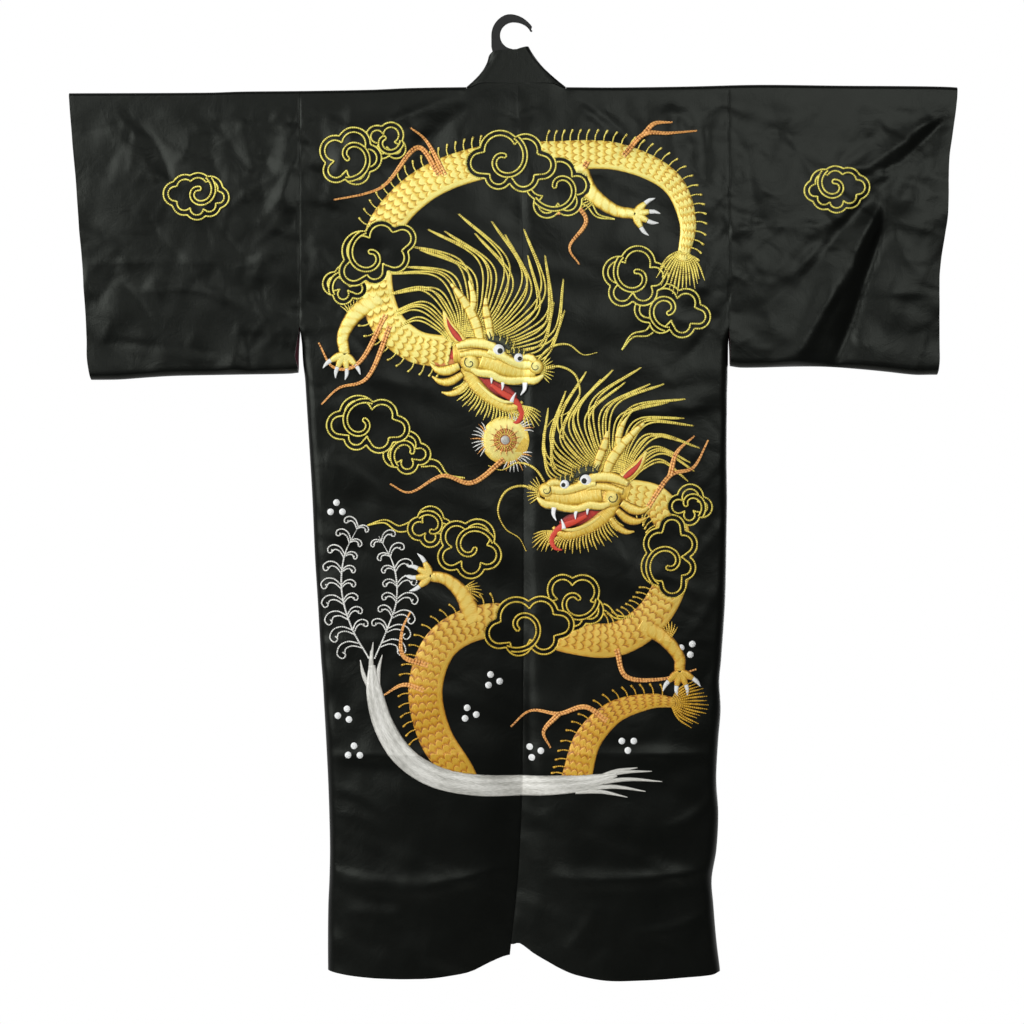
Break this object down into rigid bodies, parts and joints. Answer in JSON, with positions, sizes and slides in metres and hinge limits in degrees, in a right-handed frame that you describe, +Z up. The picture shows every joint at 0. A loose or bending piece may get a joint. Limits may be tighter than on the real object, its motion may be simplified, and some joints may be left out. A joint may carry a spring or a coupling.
{
  "type": "embroidered robe on a hanger",
  "caption": "Full-length satin robe with straight kimono sleeves, collar bands and embroidered back, hung open from a long two-armed hanger with a hook.",
  "frame": {"origin": "the top of the hanger hook's inner curve, where the rail or peg that holds it touches", "axes": "+Z up, +X towards the wearer's right sleeve, -Y out of the embroidered back towards the viewer, +Y towards the wall and the robe's open front"},
  "size_m": [1.299, 0.049, 1.409],
  "materials": {
    "satin": "black satin with a soft sheen",
    "lining": "dull crimson lining cloth",
    "hanger": "black moulded plastic",
    "gold_thread": "couched gold embroidery thread",
    "silver_thread": "silver-white satin stitch",
    "copper_thread": "copper and rust braid thread"
  },
  "bodies": {
    "root": {"body_left": "satin", "body_right": "satin", "sleeve_left": "satin", "sleeve_right": "satin", "collar_left": "satin", "collar_right": "satin", "sleeve_lining_left": "lining", "sleeve_lining_right": "lining", "hanger_hook": "hanger", "hanger_arm_left": "hanger", "hanger_arm_right": "hanger"}
  },
  "joints": []
}
